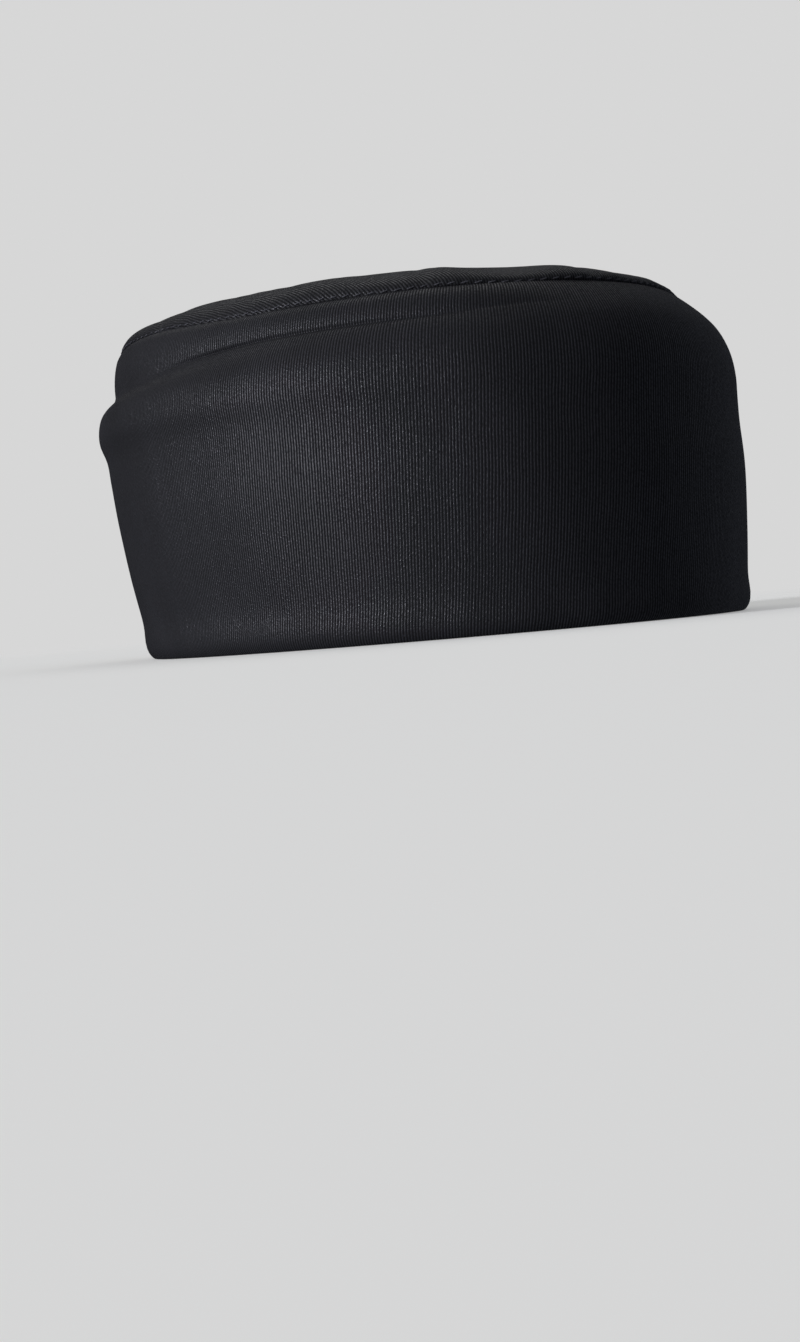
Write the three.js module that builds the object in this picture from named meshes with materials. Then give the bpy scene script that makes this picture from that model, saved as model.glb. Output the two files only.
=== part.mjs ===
// Kufi: a soft oval cap in black cotton twill that stands on its rim.
// Two sewn pieces: a side band, folded along the rim, and an oval crown top.
// Millimetres, +Z up. The front faces -Y and the wearer's left is +X.
import * as THREE from 'three';
import { LoftGeometry } from 'three/addons/geometries/LoftGeometry.js';

// Driving sizes
const rimLength = 201; // over the rim, front to back
const rimWidth = 166; // over the rim, side to side
const browNarrowing = 0.03; // the oval is this share narrower in front than behind
const seamHeight = 86; // crown seam above the foot of the rim where it is lowest
const leanBack = 6.5; // the crown seam sits this far back from over the rim
const leanRight = 3.5; // and this far towards the wearer's right
const leanPower = 1.5; // the lean grows with height to this power
const wallThickness = 2.4; // two layers of cloth
const rimThickness = 4.6; // the soft fold along the rim
const rimTaper = 8; // height over which the fold thins to the wall
const footWidth = 1.8; // flat strip that the cap stands on
const footRound = 3; // height of the rounding on either side of that strip
const seamTurnIn = 6.5; // cloth turned in under the crown top
const seamTurnThickness = 1.6;
const crownThickness = 1.8;
const crownRise = 13; // middle of the crown top above its seam
const crownEdgeShare = 0.7; // share of the rise taken by the puffed edge
const crownTilt = 0.32; // the puff is fuller towards crownTiltAngle
const crownTiltAngle = -118;
const seamGap = 0.3; // left between the two pieces
const stations = 72; // sections round the cap

// Outward set of the wall from the rim's oval at each height.
// plain: the smooth shoulder, folded: the side where the wall bulges under a crease.
const wallLevels = [
  { height: 0, plain: 0, folded: 0 },
  { height: 10, plain: 1.1, folded: 1.4 },
  { height: 24, plain: 2.8, folded: 3.3 },
  { height: 40, plain: 4.6, folded: 4.5 },
  { height: 52, plain: 5.1, folded: 4.8 },
  { height: 59, plain: 5.7, folded: 4.9 },
  { height: 65, plain: 6.3, folded: 6.2 },
  { height: 71, plain: 6.0, folded: 4.9 },
  { height: 76, plain: 4.5, folded: 1.2 },
  { height: 80, plain: 1.6, folded: -1.6 },
  { height: 86, plain: -5.0, folded: -4.3 },
];

// Round the cap: angle in degrees from the front towards the wearer's left,
// fold: 0 for the plain shoulder to 1 for the folded one, step: depth of the crease line.
const foldStations = [
  { angle: -180, fold: 0.75, step: 0.9 },
  { angle: -118, fold: 1.0, step: 0.6 },
  { angle: -72, fold: 0.45, step: 1.2 },
  { angle: -28, fold: 0.08, step: 1.1 },
  { angle: 5, fold: 0.0, step: 0.5 },
  { angle: 62, fold: 0.0, step: 0.1 },
  { angle: 122, fold: 0.3, step: 0.4 },
  { angle: 180, fold: 0.75, step: 0.9 },
];
const creaseHeight = 79.6;
const creaseWidth = 0.8; // height over which the crease steps in

// Where the crown seam stands above its plain height: the rise grows from first to full
// and dies away from fading to last, in degrees round the cap.
const seamRises = [
  { rise: 1.8, first: -150, full: -70, fading: 10, last: 90 },
  { rise: 3.2, first: -175, full: -125, fading: -98, last: -58 },
];

// Soft hollows in the crown top: angle in degrees, reach from its middle (0) to its seam (1).
const crownHollows = [
  { angle: -60, reach: 0.6, depth: 0.9, angleSpread: 24, reachSpread: 0.25 },
  { angle: 5, reach: 0.5, depth: 0.7, angleSpread: 20, reachSpread: 0.3 },
  { angle: 80, reach: 0.65, depth: 1.0, angleSpread: 26, reachSpread: 0.22 },
  { angle: 165, reach: 0.55, depth: 0.9, angleSpread: 30, reachSpread: 0.25 },
];

// Heights of the section's points, from the foot up outside and down again inside.
const roundHeights = [0, 0.7, 2.2];
const outerHeights = [5, 10, 17, 24, 32, 40, 47, 52, 56, 59, 61, 63, 65, 68, 71, 73.5, 76, 78, creaseHeight];
const stripHeights = [creaseHeight + creaseWidth, 83, seamHeight];
const innerHeights = [82, 78, 74, 70, 65, 59, 50, 40, 28, 17, 10, 5];
// Reach of the crown top's rings, from its middle out underneath and back again on top.
const crownInnerReach = [0, 0.2, 0.38, 0.56, 0.72, 0.84, 0.92, 0.97, 1];
const crownOuterReach = [1, 0.98, 0.95, 0.91, 0.86, 0.8, 0.72, 0.62, 0.5, 0.36, 0.2, 0];

const radians = THREE.MathUtils.degToRad;

// The rim's outer oval: its point and outward direction at an angle.
function rimOval(angle) {
  const a = radians(angle);
  const halfLength = rimLength / 2;
  const halfWidth = rimWidth / 2;
  const point = new THREE.Vector2(
    halfWidth * Math.sin(a) * (1 - browNarrowing * Math.cos(a)),
    -halfLength * Math.cos(a),
  );
  const along = new THREE.Vector2(
    halfWidth * (Math.cos(a) - browNarrowing * Math.cos(2 * a)),
    halfLength * Math.sin(a),
  );
  const outward = new THREE.Vector2(along.y, -along.x).normalize();
  return { point, outward };
}

// Height that the seam gains at an angle.
function seamRise(angle) {
  let total = 0;
  for (const row of seamRises) {
    const growth = THREE.MathUtils.smoothstep(angle, row.first, row.full);
    const fade = 1 - THREE.MathUtils.smoothstep(angle, row.fading, row.last);
    total += row.rise * Math.min(growth, fade);
  }
  return total;
}

// A place on the cap from its angle, its outward set and its height.
// Above the crease the cloth is drawn up to its seam.
function place(angle, outset, height) {
  const { point, outward } = rimOval(angle);
  const lean = Math.pow(Math.max(height, 0) / seamHeight, leanPower);
  const drawn = THREE.MathUtils.smoothstep(height, creaseHeight + creaseWidth, seamHeight - seamTurnThickness);
  return new THREE.Vector3(
    point.x + outward.x * outset - leanRight * lean,
    point.y + outward.y * outset + leanBack * lean,
    height + seamRise(angle) * drawn,
  );
}

// Eased value of a column between the two rows that hold an angle.
function foldAt(angle, column) {
  const next = foldStations.findIndex((row, i) => i > 0 && row.angle >= angle);
  const from = foldStations[next - 1];
  const to = foldStations[next];
  const t = THREE.MathUtils.smoothstep(angle, from.angle, to.angle);
  return THREE.MathUtils.lerp(from[column], to[column], t);
}

const plainWall = new THREE.SplineCurve(wallLevels.map((row) => new THREE.Vector2(row.plain, row.height)));
const foldedWall = new THREE.SplineCurve(wallLevels.map((row) => new THREE.Vector2(row.folded, row.height)));

// Outward set of a wall curve at a height, found by halving.
function outsetOn(curve, height) {
  let low = 0;
  let high = 1;
  for (let i = 0; i < 30; i++) {
    const middle = (low + high) / 2;
    if (curve.getPoint(middle).y < height) low = middle;
    else high = middle;
  }
  return curve.getPoint((low + high) / 2).x;
}

// Outside of the wall at an angle and height, with the crease stepped in above its lip.
function wallOutset(angle, height) {
  const fold = foldAt(angle, 'fold');
  const smooth = THREE.MathUtils.lerp(outsetOn(plainWall, height), outsetOn(foldedWall, height), fold);
  const above = THREE.MathUtils.clamp((height - creaseHeight) / creaseWidth, 0, 1);
  const fade = THREE.MathUtils.clamp((seamHeight - height) / (seamHeight - creaseHeight), 0, 1);
  return smooth - foldAt(angle, 'step') * above * fade;
}

// Thickness measured level, so that a leaning wall keeps its true thickness.
function levelThickness(angle, height) {
  const slope = (wallOutset(angle, height + 1) - wallOutset(angle, height - 1)) / 2;
  const bead = (rimThickness - wallThickness) * Math.exp(-Math.pow(height / rimTaper, 2));
  return (wallThickness + bead) * Math.hypot(1, slope);
}

// How far the rounding of the foot draws in at a height.
function footInset(height) {
  const drop = Math.max(0, 1 - height / footRound);
  return ((rimThickness - footWidth) / 2) * (1 - Math.sqrt(1 - drop * drop));
}

// Closed section of the band at an angle, outside first, then under the crown top and down the inside.
function bandSection(angle) {
  const section = [];
  const add = (outset, height) => section.push(place(angle, outset, height));
  for (const height of roundHeights) add(wallOutset(angle, height) - footInset(height), height);
  for (const height of outerHeights) add(wallOutset(angle, height), height);
  for (const height of stripHeights) add(wallOutset(angle, height), height);
  const turnEnd = wallOutset(angle, seamHeight) - seamTurnIn;
  const turnUnder = seamHeight - seamTurnThickness;
  add(turnEnd, seamHeight);
  add(turnEnd, turnUnder);
  const inner = (height) => wallOutset(angle, height) - levelThickness(angle, height);
  add(inner(turnUnder), turnUnder);
  for (const height of innerHeights) add(inner(height), height);
  for (const height of [...roundHeights].reverse()) {
    add(wallOutset(angle, height) - rimThickness + footInset(height), height);
  }
  return section;
}

// Puff of the crown top: 0 at its seam, 1 over its middle.
function crownPuff(reach) {
  return Math.sqrt(Math.max(0, 1 - Math.pow(reach, 5)));
}

// Height of the crown top above its plain seam at an angle and reach.
function crownHeight(angle, reach) {
  const puff = crownPuff(reach);
  const dome = 1 - reach * reach;
  const tilt = 1 + crownTilt * reach * Math.cos(radians(angle - crownTiltAngle));
  let height = crownRise * (crownEdgeShare * puff + (1 - crownEdgeShare) * dome) * tilt;
  for (const row of crownHollows) {
    const turn = THREE.MathUtils.euclideanModulo(angle - row.angle + 180, 360) - 180;
    const near = Math.pow(turn / row.angleSpread, 2) + Math.pow((reach - row.reach) / row.reachSpread, 2);
    height -= row.depth * Math.exp(-near) * reach * puff;
  }
  return height;
}

// Ring of the crown top: reach from the middle, inset of its oval and share of its height.
function crownRing(reach, inset, share) {
  const ring = [];
  const centre = new THREE.Vector3(-leanRight, leanBack, seamHeight + seamGap);
  for (let i = 0; i < stations; i++) {
    const angle = -180 + (360 * i) / stations;
    const edge = place(angle, wallOutset(angle, seamHeight) - inset, seamHeight);
    ring.push(
      new THREE.Vector3(
        THREE.MathUtils.lerp(centre.x, edge.x, reach),
        THREE.MathUtils.lerp(centre.y, edge.y, reach),
        centre.z + crownHeight(angle, reach) * share + seamRise(angle) * (1 - crownPuff(reach)),
      ),
    );
  }
  return ring;
}

function makeBand() {
  const sections = [];
  for (let i = 0; i <= stations; i++) sections.push(bandSection(180 - (360 * i) / stations));
  return new LoftGeometry(sections);
}

function makeCrownTop() {
  const innerShare = 1 - crownThickness / crownRise;
  const inside = crownInnerReach.map((reach) => crownRing(reach, crownThickness, innerShare));
  const outside = crownOuterReach.map((reach) => crownRing(reach, 0, 1));
  return new LoftGeometry([...inside, ...outside]);
}

const bandTwill = new THREE.MeshStandardMaterial({ color: 0x26262a, roughness: 0.92, metalness: 0 });
const crownTwill = new THREE.MeshStandardMaterial({ color: 0x252529, roughness: 0.94, metalness: 0 });
const pieces = [
  { name: 'band', geometry: makeBand(), material: bandTwill },
  { name: 'crown_top', geometry: makeCrownTop(), material: crownTwill },
];

const group = new THREE.Group();
for (const piece of pieces) {
  const mesh = new THREE.Mesh(piece.geometry, piece.material);
  mesh.name = piece.name;
  group.add(mesh);
}

// The cap stands on z = 0 with the middle of its outline over the origin.
const outline = new THREE.Box3().setFromObject(group);
const middle = outline.getCenter(new THREE.Vector3());
for (const mesh of group.children) mesh.geometry.translate(-middle.x, -middle.y, -outline.min.z);

export default group;
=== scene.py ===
import math

import bpy
import numpy as np
from mathutils import Matrix, Vector


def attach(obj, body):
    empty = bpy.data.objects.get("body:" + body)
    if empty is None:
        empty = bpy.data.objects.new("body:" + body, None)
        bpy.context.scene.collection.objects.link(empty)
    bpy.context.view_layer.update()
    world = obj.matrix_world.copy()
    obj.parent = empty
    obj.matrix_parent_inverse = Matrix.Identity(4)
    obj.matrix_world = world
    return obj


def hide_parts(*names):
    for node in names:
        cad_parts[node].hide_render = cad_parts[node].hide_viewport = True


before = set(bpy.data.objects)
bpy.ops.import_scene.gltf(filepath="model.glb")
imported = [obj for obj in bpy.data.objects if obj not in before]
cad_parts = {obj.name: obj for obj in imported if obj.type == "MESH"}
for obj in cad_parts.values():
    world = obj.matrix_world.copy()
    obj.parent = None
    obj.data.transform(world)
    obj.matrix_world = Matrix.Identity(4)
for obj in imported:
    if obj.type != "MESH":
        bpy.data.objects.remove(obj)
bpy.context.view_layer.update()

mm = 0.001

# Kufi: black twill, front to -Y, wearer's left to +X.
# Lengths in millimetres, angles in degrees from the front.
capShape = {
    "rimLength": 201.0,
    "rimWidth": 166.0,
    "browNarrowing": 0.03,
    "seamHeight": 86.0,
    "leanBack": 6.5,
    "leanRight": 3.5,
    "leanPower": 1.5,
    "creaseHeight": 79.6,
    "creaseWidth": 0.8,
    # height, outset on the plain shoulder, outset where the wall is folded
    "wallLevels": [
        (0, 0.0, 0.0),
        (10, 1.1, 1.4),
        (24, 2.8, 3.3),
        (40, 4.6, 4.5),
        (52, 5.1, 4.8),
        (59, 5.7, 4.9),
        (65, 6.3, 6.2),
        (71, 6.0, 4.9),
        (76, 4.5, 1.2),
        (80, 1.6, -1.6),
        (86, -5.0, -4.3),
    ],
    # angle, share of the fold, depth of the crease
    "foldStations": [
        (-180, 0.75, 0.9),
        (-118, 1.0, 0.6),
        (-72, 0.45, 1.2),
        (-28, 0.08, 1.1),
        (5, 0.0, 0.5),
        (62, 0.0, 0.1),
        (122, 0.3, 0.4),
        (180, 0.75, 0.9),
    ],
    # rise of the seam over its plain height, and the run of angles that it covers
    "seamRises": [
        (1.8, (-150, -70, 10, 90)),
        (3.2, (-175, -125, -98, -58)),
    ],
}


def rimOval(angle):
    a = np.radians(angle)
    halfLength, halfWidth = capShape["rimLength"] / 2, capShape["rimWidth"] / 2
    narrow = capShape["browNarrowing"]
    x = halfWidth * np.sin(a) * (1 - narrow * np.cos(a))
    y = -halfLength * np.cos(a)
    alongX = halfWidth * (np.cos(a) - narrow * np.cos(2 * a))
    alongY = halfLength * np.sin(a)
    size = np.hypot(alongX, alongY)
    return x, y, alongY / size, -alongX / size


def placeOnCap(angle, outset, height):
    x, y, outX, outY = rimOval(angle)
    lean = (np.maximum(height, 0) / capShape["seamHeight"]) ** capShape["leanPower"]
    px = x + outX * outset - capShape["leanRight"] * lean
    py = y + outY * outset + capShape["leanBack"] * lean
    return np.stack(np.broadcast_arrays(px, py, height), axis=-1)


def wallCurve(column):
    # smooth curve through the level rows, sampled finely
    rows = np.array(capShape["wallLevels"], float)[:, [0, column]]
    before, after = np.vstack([rows[:1], rows[:-2]]), np.vstack([rows[2:], rows[-1:]])
    t = np.linspace(0, 1, 40)[None, :, None]
    p1, p2 = rows[:-1, None], rows[1:, None]
    m1, m2 = (p2 - before[:, None]) / 2, (after[:, None] - p1) / 2
    curve = (2 * t**3 - 3 * t**2 + 1) * p1 + (t**3 - 2 * t**2 + t) * m1
    curve += (3 * t**2 - 2 * t**3) * p2 + (t**3 - t**2) * m2
    return curve.reshape(-1, 2)


plainCurve, foldedCurve = wallCurve(1), wallCurve(2)


def foldColumn(angle, column):
    rows = np.array(capShape["foldStations"], float)
    turn = (np.asarray(angle, float) + 180) % 360 - 180
    upper = np.clip(np.searchsorted(rows[:, 0], turn), 1, len(rows) - 1)
    low, high = rows[upper - 1], rows[upper]
    t = (turn - low[..., 0]) / (high[..., 0] - low[..., 0])
    return low[..., column] + (high[..., column] - low[..., column]) * t * t * (3 - 2 * t)


def smoothWall(angle, height):
    plain = np.interp(height, plainCurve[:, 0], plainCurve[:, 1])
    folded = np.interp(height, foldedCurve[:, 0], foldedCurve[:, 1])
    return plain + (folded - plain) * foldColumn(angle, 1)


def wallOutset(angle, height):
    # outside of the wall as the solid has it
    crease, top = capShape["creaseHeight"], capShape["seamHeight"]
    above = np.clip((height - crease) / capShape["creaseWidth"], 0, 1)
    fade = np.clip((top - height) / (top - crease), 0, 1)
    return smoothWall(angle, height) - foldColumn(angle, 2) * above * fade


def easedRun(angle, first, full, fading, last):
    # 0 outside first to last, 1 between full and fading, eased in between
    turn = (np.asarray(angle, float) + 180) % 360 - 180
    share = np.minimum((turn - first) / (full - first), (last - turn) / (last - fading))
    share = np.clip(share, 0, 1)
    return share * share * (3 - 2 * share)


def seamRise(angle):
    return sum(rise * easedRun(angle, *run) for rise, run in capShape["seamRises"])


def bump(value, centre, spread):
    return np.exp(-(((value - centre) / spread) ** 2))


def slowWaves(angle, height, seed, count, lowTurns, highTurns):
    # sum of soft ripples round the cap that drift with height
    rng = np.random.default_rng(seed)
    total = 0
    for wave in range(count):
        turns = rng.integers(lowTurns, highTurns + 1)
        phase, drift = rng.uniform(0, 2 * math.pi), rng.uniform(-0.05, 0.05)
        total = total + np.sin(np.radians(angle) * turns + phase + height * drift) / count
    return total


def gridMesh(name, points, uvs, poles=None):
    # rows by columns of points, closed round the columns and either round the rows or at two poles
    rows, columns = points.shape[:2]
    bands = rows if poles is None else rows - 1
    r, c = np.meshgrid(np.arange(bands), np.arange(columns), indexing="ij")
    up, right = (r + 1) % rows, (c + 1) % columns
    corners = [r * columns + c, r * columns + right, up * columns + right, up * columns + c]
    faces = np.stack(corners, axis=-1).reshape(-1, 4).tolist()
    cornerUvs = np.stack([uvs[r, c], uvs[r, c + 1], uvs[r + 1, c + 1], uvs[r + 1, c]], axis=2)
    cornerUvs = cornerUvs.reshape(-1, 2)
    places = points.reshape(-1, 3)
    if poles is not None:
        count, last = rows * columns, (rows - 1) * columns
        faces += [(count, (i + 1) % columns, i) for i in range(columns)]
        faces += [(count + 1, last + i, last + (i + 1) % columns) for i in range(columns)]
        places = np.concatenate([places, poles])
        poleUvs = np.concatenate([uvs[:, :-1].reshape(-1, 2), np.zeros((2, 2))])
        cornerUvs = np.concatenate([cornerUvs, poleUvs[np.array(faces[-2 * columns:]).reshape(-1)]])
    mesh = bpy.data.meshes.new(name)
    mesh.from_pydata((places * mm).tolist(), [], faces)
    mesh.uv_layers.new(name="weave").data.foreach_set("uv", cornerUvs.reshape(-1).astype(np.float32))
    mesh.shade_smooth()
    return mesh


def addPiece(name, mesh, material):
    piece = bpy.data.objects.new(name, mesh)
    bpy.context.scene.collection.objects.link(piece)
    mesh.materials.clear()
    mesh.materials.append(material)
    return piece


def gridNormals(points):
    # outward directions of a grid closed round its columns
    along = np.roll(points, -1, axis=1) - np.roll(points, 1, axis=1)
    across = np.gradient(points, axis=0)
    normals = np.cross(along, across)
    return normals / np.maximum(np.linalg.norm(normals, axis=-1, keepdims=True), 1e-9)


def feed(tree, socket, value):
    # a socket takes either another node's output or a fixed value
    if hasattr(value, "is_linked"):
        tree.links.new(value, socket)
    else:
        socket.default_value = value


def addNode(tree, kind, inputs):
    node = tree.nodes.new(kind)
    for key, value in inputs.items():
        feed(tree, node.inputs[key], value)
    return node


def mathNode(tree, operation, *values):
    node = tree.nodes.new("ShaderNodeMath")
    node.operation = operation
    for socket, value in zip(node.inputs, values):
        feed(tree, socket, value)
    return node.outputs[0]


def mixColour(tree, first, second, factor, blend="MIX"):
    node = tree.nodes.new("ShaderNodeMix")
    node.data_type = "RGBA"
    node.blend_type = blend
    for key, value in (("A", first), ("B", second), ("Factor", factor)):
        feed(tree, node.inputs[key], value)
    return node.outputs["Result"]


def noiseOn(tree, place, scale, detail):
    inputs = {"Vector": place.outputs["Object"], "Scale": scale, "Detail": detail}
    return addNode(tree, "ShaderNodeTexNoise", inputs).outputs[0]


def eased(tree, value, start, end, low=0.0, high=1.0):
    span = {"Value": value, "From Min": start, "From Max": end, "To Min": low, "To Max": high}
    node = addNode(tree, "ShaderNodeMapRange", span)
    node.interpolation_type = "SMOOTHSTEP"
    return node.outputs[0]


# twill: raised ribs broken into short floats, with a dull thread surface, and painted shade: the grooves
# between ribs and floats are coloured near-black
twillLook = {
    "ribPitch": 0.00078,
    "ribSteepness": 2.4,
    "ribRounding": 0.3,
    "ribCrest": 1.6,
    "wanderScale": 90,
    "wanderShare": 0.7,
    "floatPitch": 0.00108,
    "floatSlant": 0.36,
    "floatDepth": 0.1,
    # each range: factor and offset on a noise of 0 to 1
    "fibreScale": 1500,
    "fibreRange": (2.2, -0.1),
    "spunRange": (0.14, 0.93),
    "dyeScale": 28,
    "dyeRange": (1.2, 0.4),
    # painted shade: the colour the grooves between ribs and floats take in place of their shade
    "grooveShadeColour": (0.0004, 0.0004, 0.0005, 1),
    "threadColour": (0.0212, 0.0214, 0.0243, 1),
    "roughness": 0.36,
    "specular": 0.27,
    "bumpHeight": 0.00008,
    "bumpStrength": 1.0,
    "lintScale": 190,
    "lintSize": 0.045,
    "lintShare": 0.10,
    "lintColour": (0.10, 0.10, 0.11, 1),
}


def twillMaterial(name, ribLean, tone):
    look = twillLook
    material = bpy.data.materials.new(name)
    material.use_nodes = True
    tree = material.node_tree
    cloth = tree.nodes["Principled BSDF"]
    cloth.inputs["Specular IOR Level"].default_value = look["specular"]
    link = tree.links.new
    weaveUv = tree.nodes.new("ShaderNodeUVMap")
    weaveUv.uv_map = "weave"
    place = tree.nodes.new("ShaderNodeTexCoord")
    split = addNode(tree, "ShaderNodeSeparateXYZ", {0: weaveUv.outputs[0]})
    across, along = split.outputs[0], split.outputs[1]

    # slow wander keeps the ribs from being ruled lines
    wander = noiseOn(tree, place, look["wanderScale"], 2)
    drift = mathNode(tree, "MULTIPLY", mathNode(tree, "SUBTRACT", wander, 0.5), look["wanderShare"])

    # the cloth is cut a little off its grain, so the ribs lean
    leaned = mathNode(tree, "SUBTRACT", across, mathNode(tree, "MULTIPLY", along, ribLean))
    ribTurn = mathNode(tree, "ADD", mathNode(tree, "DIVIDE", leaned, look["ribPitch"]), drift)
    ribNumber = mathNode(tree, "FLOOR", ribTurn)
    rib = mathNode(tree, "MULTIPLY", mathNode(tree, "PINGPONG", ribTurn, 0.5), look["ribSteepness"])
    rib = mathNode(tree, "SMOOTH_MIN", rib, 1.0, look["ribRounding"])
    rib = mathNode(tree, "POWER", rib, look["ribCrest"])
    floatShift = mathNode(tree, "MULTIPLY", ribNumber, look["floatSlant"])
    floatTurn = mathNode(tree, "ADD", mathNode(tree, "DIVIDE", along, look["floatPitch"]), floatShift)
    floatWave = mathNode(tree, "SINE", mathNode(tree, "MULTIPLY", floatTurn, 2 * math.pi))
    floats = mathNode(tree, "MULTIPLY_ADD", floatWave, look["floatDepth"], 1 - look["floatDepth"])
    fibre = noiseOn(tree, place, look["fibreScale"], 3)
    fibreLift = mathNode(tree, "MULTIPLY_ADD", fibre, *look["fibreRange"])
    # no two ribs are spun quite alike
    spun = tree.nodes.new("ShaderNodeTexWhiteNoise")
    spun.noise_dimensions = "1D"
    link(ribNumber, spun.inputs["W"])
    spunLift = mathNode(tree, "MULTIPLY_ADD", spun.outputs["Value"], *look["spunRange"])
    woven = mathNode(tree, "MULTIPLY", rib, floats)
    thread = mathNode(tree, "MULTIPLY", woven, mathNode(tree, "MULTIPLY", fibreLift, spunLift))

    # faint uneven dye over hand-sized patches
    dye = noiseOn(tree, place, look["dyeScale"], 4)
    dyeTone = mathNode(tree, "MULTIPLY_ADD", dye, *look["dyeRange"])
    # a tone below 1 darkens the thread colour as painted shade
    threadColour = [channel * tone for channel in look["threadColour"][:3]] + [1]
    # painted shade: the weave fades to a near-black colour in its grooves, then the random dye patches go
    # over it
    grooveShadeAndDye = mixColour(tree, look["grooveShadeColour"], threadColour, thread)
    grooveShadeAndDye = mixColour(tree, grooveShadeAndDye, dyeTone, 1, "MULTIPLY")

    # specks of lint caught on the nap
    lintInputs = {"Vector": place.outputs["Object"], "Scale": look["lintScale"]}
    lint = addNode(tree, "ShaderNodeTexVoronoi", lintInputs)
    speck = mathNode(tree, "LESS_THAN", lint.outputs["Distance"], look["lintSize"])
    speckShare = mathNode(tree, "MULTIPLY", speck, look["lintShare"])
    link(mixColour(tree, grooveShadeAndDye, look["lintColour"], speckShare), cloth.inputs["Base Color"])

    link(mathNode(tree, "MULTIPLY_ADD", thread, look["roughness"] - 1, 1), cloth.inputs["Roughness"])
    reliefInputs = {"Strength": look["bumpStrength"], "Distance": look["bumpHeight"], "Height": thread}
    link(addNode(tree, "ShaderNodeBump", reliefInputs).outputs[0], cloth.inputs["Normal"])
    return material


bandTwill = twillMaterial("bandTwill", 0.14, 1.0)
# painted shade: the crown top takes a darker copy of the same twill, 0.68 of the band's thread colour
crownTwill = twillMaterial("crownTwill", 0, 0.68)

# side band: double cloth, folded along the rim, turned in under the crown top
bandCloth = {
    "columns": 640,
    "wallThickness": 2.4,
    "rimThickness": 4.6,
    "rimTaper": 8.0,
    "footWidth": 1.8,
    "footRound": 3.0,
    "rimBead": 0.8,
    "beadHeight": 4.2,
    "beadSpread": 4.0,
    "seamTurnIn": 6.5,
    "seamTurnThickness": 1.6,
    "seamRoll": 0.5,
    # inset from the seam's outline, drop below the seam
    "seamLip": [
        (0.7, 0.06),
        (0.95, 0.25),
        (1.3, 0.45),
        (2.4, 0.5),
        (6.2, 0.5),
        (6.5, 0.7),
        (6.5, 1.3),
        (6.2, 1.6),
    ],
    # runs are angles, and dropHeights heights, where each starts, is full, begins to fade and ends
    "creaseDrop": 2.5,
    "dropHeights": (62, 76, 81, 85),
    "dropRun": (-178, -138, -96, -56),
    "foldTuck": 1.6,
    "tuckBelow": 0.9,
    "tuckSpread": 2.4,
    "tuckRun": (-140, -96, -80, -40),
    "stripRecess": 0.9,
    "recessRun": (-84, -56, -44, -10),
    "stripRun": (-135, -108, -30, 4),
    "stripStart": 0.9,
    "stripBlend": 0.7,
    "stripPuff": (2.2, 0.9),
    "creaseGroove": 1.25,
    "creaseHalfWidth": 0.48,
    "grooveAbove": 0.3,
    "creaseRun": (-86, -62, -42, -16),
    # waves: seed, count, fewest and most turns; fades are from the rim and from the crease
    "wallRipple": 0.35,
    "wallWaves": (4, 6, 5, 17),
    "wallFades": (20, 12),
    "rimRipple": 0.22,
    "rimWaves": (9, 7, 9, 34),
    "rimRippleHeight": 3.0,
    "rimRippleSpread": 7.0,
    "stitchPucker": 0.06,
    "puckerSpread": 2.6,
    "backSeamDepth": 0.28,
    "backSeamWidth": 0.8,
    "backSeamSwell": 0.2,
    "swellPlace": 4.0,
    "swellSpread": 3.0,
    # heights where the seam's rise starts on the plain shoulder, and where it is whole
    "shoulderHeight": 72,
    "drawnHeight": 84.2,
}
stitchCount = 160
mmPerDegree = 1.45  # along the wall at the back


def creaseDrop(angle):
    return bandCloth["creaseDrop"] * easedRun(angle, *bandCloth["dropRun"])


def tuckedWall(angle, height, line):
    shape = bandCloth
    tuck = shape["foldTuck"] * easedRun(angle, *shape["tuckRun"])
    return smoothWall(angle, height) - tuck * bump(height, line - shape["tuckBelow"], shape["tuckSpread"])


def clothOutset(angle, height):
    # the wall with the cloth's own fold, crease, ripples and back seam
    shape, top = bandCloth, capShape["seamHeight"]
    line = capShape["creaseHeight"] - creaseDrop(angle)
    outset = tuckedWall(angle, height, line)
    # one soft roll from the crease up to the seam
    start = line + shape["stripStart"]
    ridge = tuckedWall(angle, start, line)
    ridge = ridge - shape["stripRecess"] * easedRun(angle, *shape["recessRun"])
    edge = smoothWall(angle, np.full((1, 1), top))
    climb = np.clip((height - start) / (top - start), 0, 1)
    climbPower, fullness = shape["stripPuff"]
    pillow = edge + (ridge - edge) * (1 - climb**climbPower) ** fullness
    blend = shape["stripBlend"]
    above = np.clip((height - start + blend) / blend, 0, 1)
    outset = outset + (pillow - outset) * above * easedRun(angle, *shape["stripRun"])
    groove = shape["creaseGroove"] * easedRun(angle, *shape["creaseRun"])
    outset = outset - groove * bump(height, line + shape["grooveAbove"], shape["creaseHalfWidth"])
    outset = outset + shape["rimBead"] * bump(height, shape["beadHeight"], shape["beadSpread"])
    rimFade, creaseFade = shape["wallFades"]
    body = np.clip(height / rimFade, 0, 1) * np.clip((line - height) / creaseFade, 0, 1)
    outset = outset + shape["wallRipple"] * body * slowWaves(angle, height, *shape["wallWaves"])
    rim = bump(height, shape["rimRippleHeight"], shape["rimRippleSpread"])
    outset = outset + shape["rimRipple"] * rim * slowWaves(angle, height, *shape["rimWaves"])
    pucker = np.cos(np.radians(angle) * stitchCount) * bump(height, top, shape["puckerSpread"])
    outset = outset - shape["stitchPucker"] * pucker
    # the back seam is a fine groove between two slight swells
    fromBack = np.abs((np.asarray(angle, float) % 360) - 180) * mmPerDegree
    outset = outset - shape["backSeamDepth"] * bump(fromBack, 0, shape["backSeamWidth"])
    return outset + shape["backSeamSwell"] * bump(fromBack, shape["swellPlace"], shape["swellSpread"])


def footInset(height):
    drop = np.clip(1 - height / bandCloth["footRound"], 0, 1)
    return (bandCloth["rimThickness"] - bandCloth["footWidth"]) / 2 * (1 - np.sqrt(1 - drop * drop))


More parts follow.
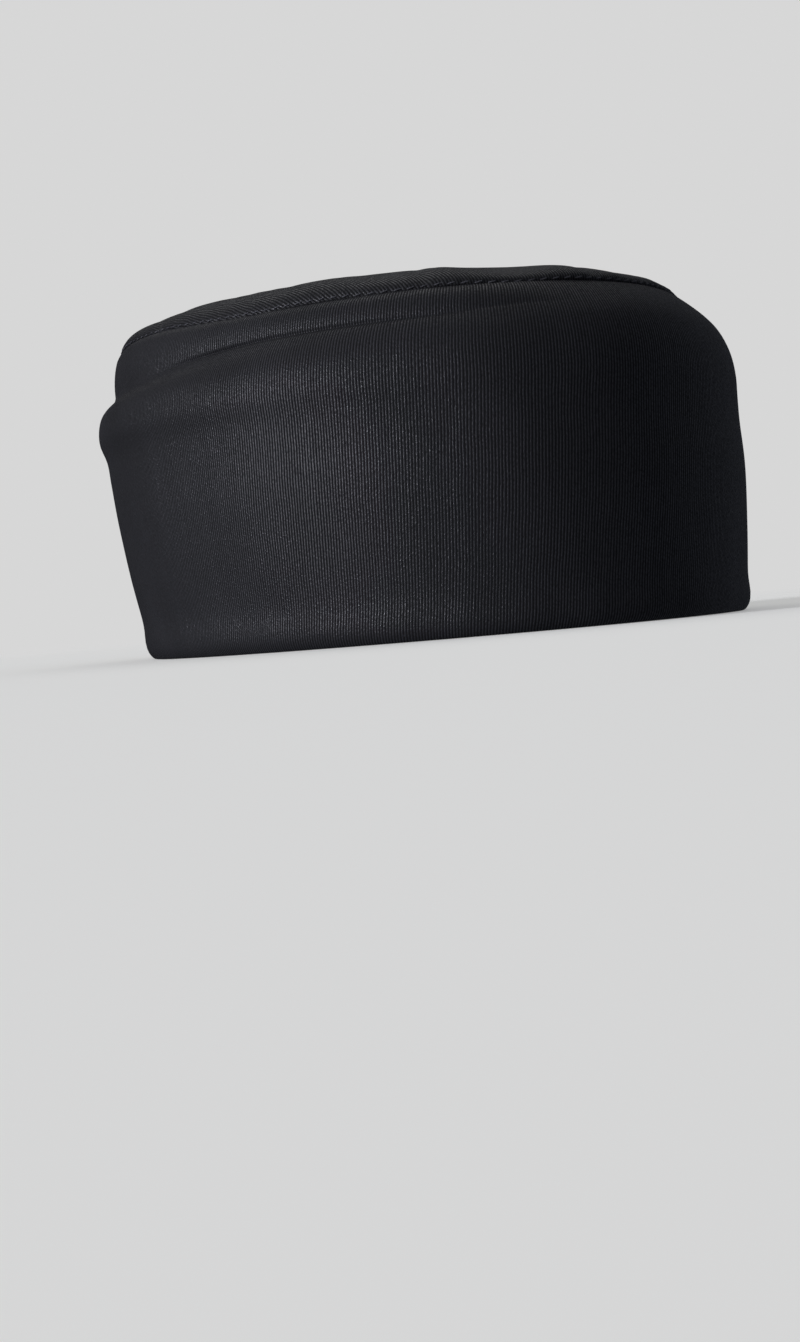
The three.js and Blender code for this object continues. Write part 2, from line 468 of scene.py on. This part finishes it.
def makeBandCloth():
    shape = bandCloth
    top = capShape["seamHeight"]
    angle = -180 + 360 * np.arange(shape["columns"])[None, :] / shape["columns"]
    foot = np.array([0, 0.12, 0.4, 0.85, 1.5, 2.3])
    wall = [np.arange(3.2, 66, 1.8), np.arange(66, 76, 1.2), np.arange(76, 79, 0.5)]
    crease = [np.arange(79.0, 79.5, 0.2), np.arange(79.5, 80.35, 0.1), np.arange(80.4, 81.2, 0.2)]
    strip = [np.arange(81.4, 84.9, 0.5), [85.0, 85.25, 85.5, 85.7, 85.85, 85.95, 86.0]]
    outer = np.concatenate([foot, *wall, *crease, *strip])[:, None]
    # the rows follow the crease where it runs lower
    drop = creaseDrop(angle)
    low, lowFull, highFull, high = shape["dropHeights"]
    follow = np.clip((outer - low) / (lowFull - low), 0, 1)
    follow = follow * np.clip((high - outer) / (high - highFull), 0, 1)
    outer = outer - drop * follow
    nearTop = np.clip(outer - (top - 1), 0, 1)
    roll = shape["seamRoll"] * (1 - np.sqrt(np.clip(1 - nearTop**2, 0, 1)))
    outerSet = clothOutset(angle, outer) - footInset(outer) - roll
    rows = [placeOnCap(angle, outerSet, outer)]

    # the seam's lip, the channel that takes the crown's edge, and the turn-in
    edge = wallOutset(angle, np.full((1, 1), top))
    for inset, below in shape["seamLip"]:
        rows.append(placeOnCap(angle, edge - inset, np.full((1, 1), top - below)))
    turnEnd = edge - shape["seamTurnIn"]
    turnUnder = top - shape["seamTurnThickness"]

    def innerOutset(height):
        slope = (wallOutset(angle, height + 1) - wallOutset(angle, height - 1)) / 2
        bead = (shape["rimThickness"] - shape["wallThickness"]) * bump(height, 0, shape["rimTaper"])
        return wallOutset(angle, height) - (shape["wallThickness"] + bead) * np.hypot(1, slope)

    underneath = np.full((1, 1), turnUnder)
    rows.append(placeOnCap(angle, (turnEnd + innerOutset(underneath)) / 2, underneath))
    inner = [[turnUnder, 83.4, 82.2, 81, 79.5, 78], np.arange(76, 4, -3.0), [4.0, 3.0]]
    inner = np.concatenate(inner)[:, None]
    rows.append(placeOnCap(angle, innerOutset(inner), inner))
    back = foot[::-1][:, None]
    rows.append(placeOnCap(angle, wallOutset(angle, back) - shape["rimThickness"] + footInset(back), back))
    points = np.concatenate(rows, axis=0)
    # the cloth above the crease, or above the shoulder, is drawn up to its seam
    creased = easedRun(angle, *shape["stripRun"])
    shoulder, drawn = shape["shoulderHeight"], shape["drawnHeight"]
    drawStart = shoulder + (capShape["creaseHeight"] + shape["stripStart"] - shoulder) * creased - drop
    draw = np.clip((points[..., 2] - drawStart) / (drawn - drawStart), 0, 1)
    draw = draw + (draw * draw * (3 - 2 * draw) - draw) * (1 - creased)
    points[..., 2] += seamRise(angle) * draw

    # weave runs up the outside, over the turn-in and down the inside
    ovalX, ovalY, _, _ = rimOval(np.append(angle[0], 180))
    around = np.concatenate([[0], np.cumsum(np.hypot(np.diff(ovalX), np.diff(ovalY)))])
    # a whole number of ribs goes round, so that they meet at the back
    ribPitch = twillLook["ribPitch"] / mm
    around *= round(around[-1] / ribPitch) * ribPitch / around[-1]
    loop = np.concatenate([points, points[:1]], axis=0)
    up = np.concatenate([[0], np.cumsum(np.linalg.norm(np.diff(loop, axis=0), axis=-1).mean(axis=1))])
    uvs = np.stack(np.broadcast_arrays(around[None, :], up[:, None]), axis=-1) * mm
    return points, uvs


# oval crown top: puffed at its sewn edge, with soft hollows and radial puckers
crownCloth = {
    "columns": 800,
    "thickness": 1.8,
    "rise": 13.0,
    "edgeShare": 0.7,
    "tilt": 0.32,
    "tiltAngle": -118,
    "seamGap": 0.3,
    "edgeRoll": 0.55,
    "edgeRound": 2.4,
    "edgeTuck": 0.55,
    "stitchPucker": 0.12,
    "puckerReach": 2.2,
    "riseReach": 0.5,
    "lumpHeight": 1.3,
    "lumpWaves": (31, 8, 5, 19),
    "lumpPlace": 9,
    "gatherDepth": 0.5,
    "gathers": 70,
    "gatherSeed": 21,
    # angle, reach, depth, spread in angle, spread in reach
    "hollows": [
        (-60, 0.6, 0.9, 24, 0.25),
        (5, 0.5, 0.7, 20, 0.3),
        (80, 0.65, 1.0, 26, 0.22),
        (165, 0.55, 0.9, 30, 0.25),
    ],
}


def crownHeight(angle, reach):
    shape = crownCloth
    puff = np.sqrt(np.clip(1 - reach**5, 0, 1))
    tilt = 1 + shape["tilt"] * reach * np.cos(np.radians(angle - shape["tiltAngle"]))
    share = shape["edgeShare"]
    height = shape["rise"] * (share * puff + (1 - share) * (1 - reach**2)) * tilt
    for hollowAngle, hollowReach, depth, angleSpread, reachSpread in shape["hollows"]:
        turn = (angle - hollowAngle + 180) % 360 - 180
        hollow = bump(turn, 0, angleSpread) * bump(reach, hollowReach, reachSpread)
        height = height - depth * hollow * reach * puff
    return height


def makeCrownCloth():
    shape = crownCloth
    seam = capShape["seamHeight"]
    angle = -180 + 360 * np.arange(shape["columns"])[None, :] / shape["columns"]
    centre = np.array([-capShape["leanRight"], capShape["leanBack"], seam + shape["seamGap"]])

    def ring(reach, inset, share):
        edge = placeOnCap(angle, wallOutset(angle, np.full((1, 1), seam)) - inset, np.full((1, 1), seam))
        lift = crownHeight(angle, reach) * share
        nearSeam = np.clip(1 - lift / lift.max(axis=0), 0, 1) * np.clip(reach / shape["riseReach"], 0, 1)
        height = centre[2] + lift + seamRise(angle) * nearSeam
        flat = centre[:2] + (edge[..., :2] - centre[:2]) * reach[..., None]
        return np.concatenate([flat, height[..., None]], axis=-1)

    puffRows = np.concatenate([[0, 0.03, 0.06], np.arange(0.1, 0.72, 0.04)])
    outerReach = np.concatenate([(1 - puffRows**2) ** 0.2, np.linspace(0.86, 0.06, 24), [0.02]])[:, None]
    outer = ring(outerReach, np.zeros((1, 1)), 1.0)
    tuck = np.repeat(outer[:1], 4, axis=0)
    tuck[..., 2] -= np.linspace(shape["edgeTuck"], 0.1, 4)[:, None]
    outer = np.concatenate([tuck, outer], axis=0)
    rise = (outer[..., 2] - outer[:1, :, 2]) / shape["edgeRound"]
    roll = shape["edgeRoll"] * (1 - np.sqrt(1 - np.clip(1 - rise, 0, 1) ** 2))
    _, _, outX, outY = rimOval(angle)
    outer[..., 0] -= outX * roll
    outer[..., 1] -= outY * roll

    # puckers at the stitches and longer gathers that die out towards the middle
    away = np.linalg.norm(outer - outer[:1], axis=-1)
    lumps = slowWaves(angle, 0, *shape["lumpWaves"]) * bump(away, shape["lumpPlace"], shape["lumpPlace"])
    outer[..., 2] += shape["lumpHeight"] * lumps
    nearStitch = np.exp(-away / shape["puckerReach"]) * np.clip(away / 0.6, 0, 1)
    dent = shape["stitchPucker"] * np.cos(np.radians(angle) * stitchCount) * nearStitch
    rng = np.random.default_rng(shape["gatherSeed"])
    for gather in range(shape["gathers"]):
        at, wide = rng.uniform(-180, 180), rng.uniform(0.8, 2.6)
        reachIn, depth = rng.uniform(5, 22), rng.uniform(0.2, 1.0) * shape["gatherDepth"]
        turn = (angle - at + 180) % 360 - 180
        dent = dent - depth * bump(turn, 0, wide) * np.exp(-away / reachIn) * np.clip(away / 2, 0, 1)
    outer = outer + gridNormals(outer) * dent[..., None]

    innerReach = np.concatenate([[0.02], np.linspace(0.1, 0.9, 12), [0.95, 0.98, 1.0]])[:, None]
    inner = ring(innerReach, np.full((1, 1), shape["thickness"]), 1 - shape["thickness"] / shape["rise"])
    inner[-1, :, 2] -= shape["edgeTuck"]
    points = np.concatenate([inner, outer], axis=0)
    # the weave lies flat on the cut oval, so the puffed edge is unrolled
    plan = points[..., :2] - centre[:2]
    reachOut = np.linalg.norm(plan, axis=-1, keepdims=True)
    steps = np.linalg.norm(np.diff(outer[::-1], axis=0), axis=-1)
    unrolled = np.concatenate([np.zeros((1, steps.shape[1])), np.cumsum(steps, axis=0)])
    unrolled = unrolled + reachOut[-1, :, 0]
    flat = plan.copy()
    flat[len(inner):] *= unrolled[::-1][..., None] / reachOut[len(inner):]
    poles = np.stack([centre, centre])
    poles[:, 2] += np.array([inner[0, :, 2].mean(), outer[-1, :, 2].mean()]) - centre[2]
    return points, poles, flat, len(inner)


bandPoints, bandUvs = makeBandCloth()
crownPoints, crownPoles, crownFlat, crownInnerRows = makeCrownCloth()

# the shape's axes start at the rim's middle, the frame's at the middle of the outline
plainAngles = -180 + 5.0 * np.arange(72)[None, :]
plainHeights = [0, 0.7, 2.2, 5, 10, 17, 24, 32, 40, 47, 52, 56, 59, 61, 63, 65, 68, 71, 73.5, 76]
plainHeights = np.array(plainHeights)[:, None]
plainWall = placeOnCap(plainAngles, wallOutset(plainAngles, plainHeights), plainHeights)
plainMiddle = (plainWall.min(axis=(0, 1)) + plainWall.max(axis=(0, 1))) / 2
capShift = np.array([-plainMiddle[0], -plainMiddle[1], 0.0])

bandMesh = gridMesh("bandCloth", bandPoints + capShift, bandUvs)
bandPiece = addPiece("bandCloth", bandMesh, bandTwill)
crownPoints, crownPoles = crownPoints + capShift, crownPoles + capShift
crownUvs = np.concatenate([crownFlat, crownFlat[:, :1]], axis=1) * mm
crownMesh = gridMesh("crownCloth", crownPoints, crownUvs, crownPoles)
crownPiece = addPiece("crownCloth", crownMesh, crownTwill)
print("band and crown cloth made:", len(bandMesh.polygons), "and", len(crownMesh.polygons), "faces")

# topstitching along the crown's edge
seamStitches = {
    "alongEdge": 0.85,
    "stitchLength": 0.0018,
    "threadRadius": 0.00017,
    "archHeight": 0.00034,
    "sink": 0.00006,
    "slant": 0.14,
    "slantSpread": 0.12,
    "seed": 7,
    # painted sheen and shade: the black thread's plies are coloured grey as sheen, the hollows between
    # them darker as shade
    "plyHollowShade": (0.032, 0.032, 0.036, 1),
    "plySheenColour": (0.090, 0.090, 0.098, 1),
}


def threadMaterial():
    material = bpy.data.materials.new("seamThread")
    material.use_nodes = True
    tree = material.node_tree
    thread = tree.nodes["Principled BSDF"]
    place = tree.nodes.new("ShaderNodeTexCoord")
    plyInputs = {"Vector": place.outputs["Object"], "Scale": 900, "Distortion": 2.0}
    ply = addNode(tree, "ShaderNodeTexWave", plyInputs).outputs["Fac"]
    # painted sheen on the plies and painted shade in the hollows between them
    tone = mixColour(tree, seamStitches["plyHollowShade"], seamStitches["plySheenColour"], ply)
    tree.links.new(tone, thread.inputs["Base Color"])
    lift = addNode(tree, "ShaderNodeBump", {"Strength": 0.4, "Distance": 0.0001, "Height": ply})
    tree.links.new(lift.outputs[0], thread.inputs["Normal"])
    thread.inputs["Roughness"].default_value = 0.5
    thread.inputs["Specular IOR Level"].default_value = 0.08
    return material


def stitchPath():
    # loop along the crown's edge, with the cloth's outward direction at each point
    outer = crownPoints[crownInnerRows:] * mm
    normals = gridNormals(outer)
    away = np.linalg.norm(outer - outer[:1], axis=-1)
    row = int(np.argmin(np.abs(away.mean(axis=1) - seamStitches["alongEdge"] * mm)))
    count = crownCloth["columns"]
    mesh = bpy.data.meshes.new("stitchPath")
    mesh.from_pydata(outer[row].tolist(), [(i, (i + 1) % count) for i in range(count)], [])
    attribute = mesh.attributes.new("clothOut", "FLOAT_VECTOR", "POINT")
    attribute.data.foreach_set("vector", normals[row].reshape(-1).astype(np.float32))
    return mesh


def stitchTree(material, sizes):
    tree = bpy.data.node_groups.new("seamStitches", "GeometryNodeTree")
    face = tree.interface
    face.new_socket("Geometry", in_out="INPUT", socket_type="NodeSocketGeometry")
    sockets = {}
    for label, value in sizes.items():
        kind = "NodeSocketInt" if isinstance(value, int) else "NodeSocketFloat"
        sockets[label] = face.new_socket(label, in_out="INPUT", socket_type=kind).identifier
    face.new_socket("Geometry", in_out="OUTPUT", socket_type="NodeSocketGeometry")
    given = tree.nodes.new("NodeGroupInput").outputs
    result = tree.nodes.new("NodeGroupOutput")

    # one stitch: a short arch of thread whose ends go into the cloth
    down = mathNode(tree, "MULTIPLY", given["Sink"], -1)
    ends = []
    for side in (-0.5, 0.5):
        across = mathNode(tree, "MULTIPLY", given["Stitch Length"], side)
        ends.append(addNode(tree, "ShaderNodeCombineXYZ", {"X": across, "Z": down}).outputs[0])
    middle = addNode(tree, "ShaderNodeCombineXYZ", {"Z": given["Arch Height"]}).outputs[0]
    archInputs = {"Resolution": 6, "Start": ends[0], "Middle": middle, "End": ends[1]}
    arch = addNode(tree, "GeometryNodeCurveQuadraticBezier", archInputs).outputs[0]
    plyInputs = {"Resolution": 6, "Radius": given["Thread Radius"]}
    ply = addNode(tree, "GeometryNodeCurvePrimitiveCircle", plyInputs).outputs[0]
    stitchInputs = {"Curve": arch, "Profile Curve": ply, "Fill Caps": True}
    stitch = addNode(tree, "GeometryNodeCurveToMesh", stitchInputs).outputs[0]

    # stitches set along the path, lying on the cloth
    path = addNode(tree, "GeometryNodeMeshToCurve", {0: given["Geometry"]}).outputs[0]
    spacing = {"Curve": path, "Count": given["Stitches"]}
    spaced = addNode(tree, "GeometryNodeResampleCurve", spacing).outputs[0]
    tangent = tree.nodes.new("GeometryNodeInputTangent").outputs[0]
    outward = tree.nodes.new("GeometryNodeInputNamedAttribute")
    outward.data_type = "FLOAT_VECTOR"
    outward.inputs["Name"].default_value = "clothOut"
    axes = {"Primary Axis": outward.outputs["Attribute"], "Secondary Axis": tangent}
    facing = addNode(tree, "FunctionNodeAxesToRotation", axes)
    facing.primary_axis, facing.secondary_axis = "Z", "X"
    uneven = tree.nodes.new("FunctionNodeRandomValue")
    uneven.data_type = "FLOAT"
    tree.links.new(given["Slant Spread"], uneven.inputs[3])
    tree.links.new(given["Seed"], uneven.inputs["Seed"])
    tilt = mathNode(tree, "ADD", given["Slant"], uneven.outputs[1])
    turn = addNode(tree, "FunctionNodeAxisAngleToRotation", {"Axis": (0, 0, 1), "Angle": tilt}).outputs[0]
    turns = {"Rotation": facing.outputs[0], "Rotate By": turn}
    slanted = addNode(tree, "FunctionNodeRotateRotation", turns)
    slanted.rotation_space = "LOCAL"
    settings = {"Points": spaced, "Instance": stitch, "Rotation": slanted.outputs[0]}
    placed = addNode(tree, "GeometryNodeInstanceOnPoints", settings).outputs[0]
    real = addNode(tree, "GeometryNodeRealizeInstances", {0: placed}).outputs[0]
    smooth = addNode(tree, "GeometryNodeSetShadeSmooth", {0: real}).outputs[0]
    finish = addNode(tree, "GeometryNodeSetMaterial", {0: smooth, "Material": material})
    tree.links.new(finish.outputs[0], result.inputs[0])
    return tree, sockets


def makeStitches():
    material = threadMaterial()
    sizes = {
        "Stitches": stitchCount,
        "Stitch Length": seamStitches["stitchLength"],
        "Thread Radius": seamStitches["threadRadius"],
        "Arch Height": seamStitches["archHeight"],
        "Sink": seamStitches["sink"],
        "Slant": seamStitches["slant"],
        "Slant Spread": seamStitches["slantSpread"],
        "Seed": seamStitches["seed"],
    }
    tree, sockets = stitchTree(material, sizes)
    sewn = bpy.data.objects.new("seamStitches", stitchPath())
    bpy.context.scene.collection.objects.link(sewn)
    modifier = sewn.modifiers.new("stitching", "NODES")
    modifier.node_group = tree
    for label, value in sizes.items():
        modifier[sockets[label]] = value
    evaluated = sewn.evaluated_get(bpy.context.evaluated_depsgraph_get())
    mesh = bpy.data.meshes.new_from_object(evaluated)
    sewn.modifiers.remove(modifier)
    sewn.data = mesh
    mesh.materials.clear()
    mesh.materials.append(material)
    print("stitches made:", len(mesh.polygons), "faces")
    return sewn


stitchPiece = makeStitches()

pieceSlots = ((bandPiece, "band_twill"), (crownPiece, "crown_twill"), (stitchPiece, "crown_twill"))
for piece, slotName in pieceSlots:
    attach(piece, "root")
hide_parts("band")
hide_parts("crown_top")

# pale studio: glowing paper floor, low key from the left, weak air, and a high light behind
studio = {
    "paper": 0.68,
    "air": 0.18,
    "airTint": (0.93, 1.0, 1.2),
    "ceiling": 0.18,
    "airHeights": (0.1, 0.8),
    "airFront": 28,
    "airBehind": 0.06,
    "airTurn": (-0.8, 0.6),
    "floorTone": (0.75, 0.745, 0.69),
    "floorGlow": 0.29,
    "floorFade": (0.22, 1.0),
    "floorRings": (0.3, 0.8, 2.0, 5.0, 12.0),
    # strength, tint, azimuth, elevation, softness
    "keyLight": (3.6, (0.97, 0.98, 1.08), -90, 10.5, 22),
    "backLight": (0.7, (1.0, 1.0, 1.0), 165, 64, 60),
}


def makeFloor():
    rings, count = studio["floorRings"], 48
    turns = 2 * math.pi * np.arange(count) / count
    points = [(0, 0, -0.0001)]
    points += [(r * math.cos(t), r * math.sin(t), -0.0001) for r in rings for t in turns]
    faces = [(0, 1 + i, 1 + (i + 1) % count) for i in range(count)]
    for ring in range(len(rings) - 1):
        low, high = 1 + ring * count, 1 + (ring + 1) * count
        for i in range(count):
            after = (i + 1) % count
            faces.append((low + i, high + i, high + after, low + after))
    mesh = bpy.data.meshes.new("studioFloor")
    mesh.from_pydata(points, [], faces)
    floor = bpy.data.objects.new("studioFloor", mesh)
    bpy.context.scene.collection.objects.link(floor)
    material = bpy.data.materials.new("palePaper")
    material.use_nodes = True
    tree = material.node_tree
    paper = tree.nodes["Principled BSDF"]
    paper.inputs["Base Color"].default_value = studio["floorTone"] + (1,)
    paper.inputs["Roughness"].default_value = 0.95
    paper.inputs["Specular IOR Level"].default_value = 0.1
    paper.inputs["Emission Color"].default_value = (1, 1, 1, 1)
    paper.inputs["Emission Strength"].default_value = studio["floorGlow"]
    # far from the cap the floor turns into the backdrop
    far = addNode(tree, "ShaderNodeEmission", {"Color": (studio["paper"],) * 3 + (1,)})
    place = tree.nodes.new("ShaderNodeTexCoord")
    reach = addNode(tree, "ShaderNodeVectorMath", {0: place.outputs["Object"]})
    reach.operation = "LENGTH"
    fade = eased(tree, reach.outputs["Value"], *studio["floorFade"])
    mix = addNode(tree, "ShaderNodeMixShader", {0: fade, 1: paper.outputs[0], 2: far.outputs[0]})
    tree.links.new(mix.outputs[0], tree.nodes["Material Output"].inputs["Surface"])
    mesh.materials.append(material)
    # the paper's glow stays off the cloth
    floor.visible_diffuse = False
    floor.visible_glossy = False


def makeLight():
    world = bpy.data.worlds.new("studioAir")
    bpy.context.scene.world = world
    world.use_nodes = True
    tree = world.node_tree
    sky = tree.nodes["Background"]
    place = tree.nodes.new("ShaderNodeTexCoord").outputs["Generated"]
    split = addNode(tree, "ShaderNodeSeparateXYZ", {0: place})
    fade = eased(tree, split.outputs[2], *studio["airHeights"], studio["air"], studio["ceiling"])
    # darker behind the cap, so that its far edge does not shine
    front = math.radians(studio["airFront"])
    facing = tree.nodes.new("ShaderNodeVectorMath")
    facing.operation = "DOT_PRODUCT"
    facing.inputs[1].default_value = (math.sin(front), -math.cos(front), 0)
    tree.links.new(place, facing.inputs[0])
    shade = eased(tree, facing.outputs["Value"], *studio["airTurn"], studio["airBehind"])
    # the backdrop shows as pale paper, and lights the cap less than it shows
    cool = tree.nodes.new("ShaderNodeVectorMath")
    cool.operation = "SCALE"
    cool.inputs[0].default_value = studio["airTint"]
    tree.links.new(mathNode(tree, "MULTIPLY", fade, shade), cool.inputs["Scale"])
    seen = tree.nodes.new("ShaderNodeLightPath").outputs["Is Camera Ray"]
    backdrop = mixColour(tree, cool.outputs[0], (studio["paper"],) * 3 + (1,), seen)
    tree.links.new(backdrop, sky.inputs["Color"])
    for name in ("keyLight", "backLight"):
        strength, tint, azimuth, elevation, softness = studio[name]
        sun = bpy.data.lights.new(name, "SUN")
        sun.energy, sun.color, sun.angle = strength, tint, math.radians(softness)
        lamp = bpy.data.objects.new(name, sun)
        bpy.context.scene.collection.objects.link(lamp)
        a, e = math.radians(azimuth), math.radians(elevation)
        towards = Vector((math.sin(a) * math.cos(e), -math.cos(a) * math.cos(e), math.sin(e)))
        lamp.rotation_mode = "QUATERNION"
        lamp.rotation_quaternion = (-towards).to_track_quat("-Z", "Y")


# the photograph's side of the cap, kept just above the floor
photoCamera = {
    "azimuth": -28,
    "height": 0.008,
    "distance": 0.58,
    "roll": 5.0,
    "aim": (0, 0, 0.045),
    "focalPixels": 1945,
    "imageSize": (800, 1342),
    "aimPixel": (418, 484),
}


def makeCamera():
    view = photoCamera
    a, r = math.radians(view["azimuth"]), math.radians(view["roll"])
    e = math.asin((view["height"] - view["aim"][2]) / view["distance"])
    back = Vector((math.sin(a) * math.cos(e), -math.cos(a) * math.cos(e), math.sin(e)))
    right = Vector((0, 0, 1)).cross(back).normalized()
    up = back.cross(right)
    rightRolled = right * math.cos(r) - up * math.sin(r)
    upRolled = right * math.sin(r) + up * math.cos(r)
    offX = (view["aimPixel"][0] - view["imageSize"][0] / 2) / view["focalPixels"]
    offY = (view["imageSize"][1] / 2 - view["aimPixel"][1]) / view["focalPixels"]
    away = (back + rightRolled * offX + upRolled * offY).normalized()
    side = upRolled.cross(away).normalized()
    top = away.cross(side)
    lens = bpy.data.cameras.new("photoCamera")
    lens.sensor_width = 36
    lens.lens = view["focalPixels"] / max(view["imageSize"]) * lens.sensor_width
    lens.clip_start, lens.clip_end = 0.004, 60
    camera = bpy.data.objects.new("photoCamera", lens)
    bpy.context.scene.collection.objects.link(camera)
    turn = Matrix((side, top, away)).transposed().to_4x4()
    camera.matrix_world = Matrix.Translation(Vector(view["aim"]) + back * view["distance"]) @ turn
    bpy.context.scene.camera = camera


makeFloor()
makeLight()
makeCamera()
bpy.context.scene.view_settings.view_transform = "Standard"
print("studio and camera set")
